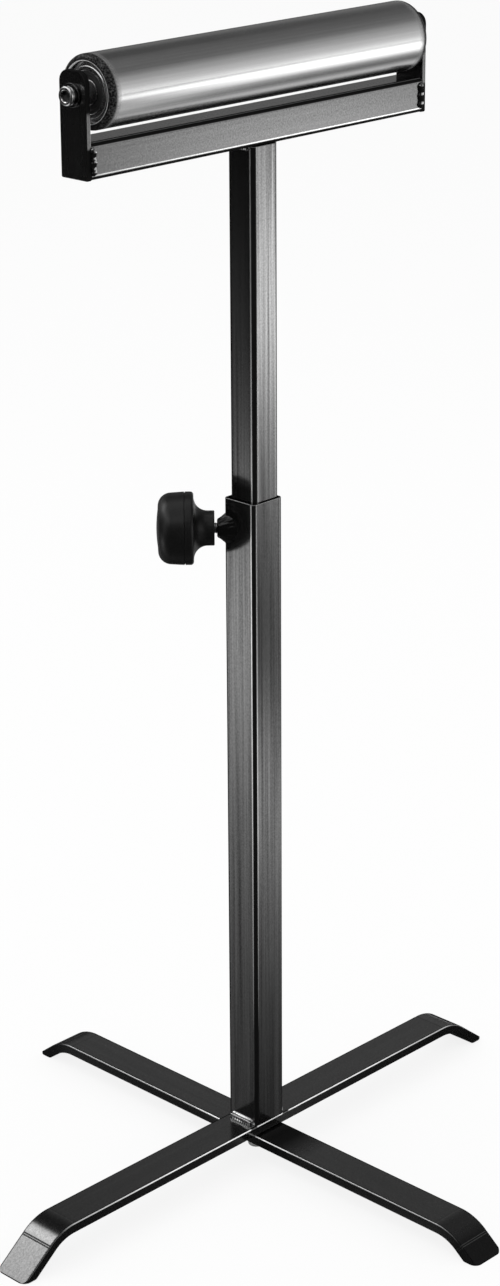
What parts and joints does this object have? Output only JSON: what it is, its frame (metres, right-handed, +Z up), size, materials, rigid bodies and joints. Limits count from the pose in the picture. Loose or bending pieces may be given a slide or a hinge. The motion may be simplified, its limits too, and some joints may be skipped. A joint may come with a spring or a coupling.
{
  "type": "roller stand",
  "caption": "Single-roller work support stand: crossed flat-bar base, telescopic square post with a corner clamp knob, and a welded head with a steel roller.",
  "frame": {"origin": "on the floor, under the middle of the post", "axes": "+Z up along the post, +X along the roller, -Y to the front"},
  "size_m": [0.513, 0.4698, 0.8672],
  "materials": {
    "black_paint": "satin-gloss black paint",
    "black_plastic": "satin moulded plastic",
    "bright_steel": "bright drawn steel, faint lines along the tube",
    "zinc_steel": "zinc plated",
    "pressed_steel": "pressed sheet steel, oiled",
    "bearing_seal": "moulded rubber seal"
  },
  "bodies": {
    "stand_base": {"base_bar_upper": "black_paint", "base_spacer": "zinc_steel", "pivot_washer": "zinc_steel", "pivot_bolt": "zinc_steel", "pivot_nut": "zinc_steel", "post_weld_left": "black_paint", "post_weld_right": "black_paint", "outer_post": "black_paint", "clamp_nut": "black_paint", "clamp_nut_weld": "black_paint"},
    "cross_bar": {"base_bar_lower": "black_paint"},
    "clamp_screw": {"clamp_stud": "zinc_steel"},
    "knob": {"knob_body": "black_plastic", "knob_cap": "black_plastic"},
    "head": {"inner_post": "black_paint", "head_rail": "black_paint", "mast_weld_left": "black_paint", "mast_weld_right": "black_paint", "end_plate_left": "black_paint", "end_plate_right": "black_paint", "plate_weld_left_front": "black_paint", "plate_weld_left_back": "black_paint", "plate_weld_right_front": "black_paint", "plate_weld_right_back": "black_paint", "axle": "zinc_steel", "bearing_race_left": "zinc_steel", "bearing_race_right": "zinc_steel", "axle_bush_left": "zinc_steel", "axle_bush_right": "zinc_steel", "axle_washer_left": "zinc_steel", "axle_washer_right": "zinc_steel", "axle_screw_left": "zinc_steel", "axle_screw_right": "zinc_steel"},
    "roller": {"roller_tube": "bright_steel", "roller_cap_left": "pressed_steel", "roller_cap_right": "pressed_steel", "bearing_shell_left": "bearing_seal", "bearing_shell_right": "bearing_seal"}
  },
  "joints": [
    {"name": "post_slide", "type": "slide", "parent": "stand_base", "child": "head", "axis": [0, 0, 1], "range_m": [-0.245, 0.144]},
    {"name": "roller_spin", "type": "hinge", "parent": "head", "child": "roller", "pos_m": [0.0007, -0.0007, 0.8422], "axis": [1, 0, 0], "continuous": true},
    {"name": "cross_bar_swing", "type": "hinge", "parent": "stand_base", "child": "cross_bar", "pos_m": [0, 0, 0.0162], "axis": [0, 0, 1], "range_deg": [-90, 90]},
    {"name": "clamp_travel", "type": "slide", "parent": "stand_base", "child": "clamp_screw", "axis": [-0.7071, 0.7071, 0], "range_m": [0, 0.0038]},
    {"name": "knob_turn", "type": "hinge", "parent": "clamp_screw", "child": "knob", "pos_m": [-0.02828, 0.02828, 0.508], "axis": [-0.7071, 0.7071, 0], "range_deg": [0, 1080]}
  ],
  "couplings": [
    {"joint": "clamp_travel", "follows": "knob_turn", "m_per_rad": 0.00019894}
  ]
}
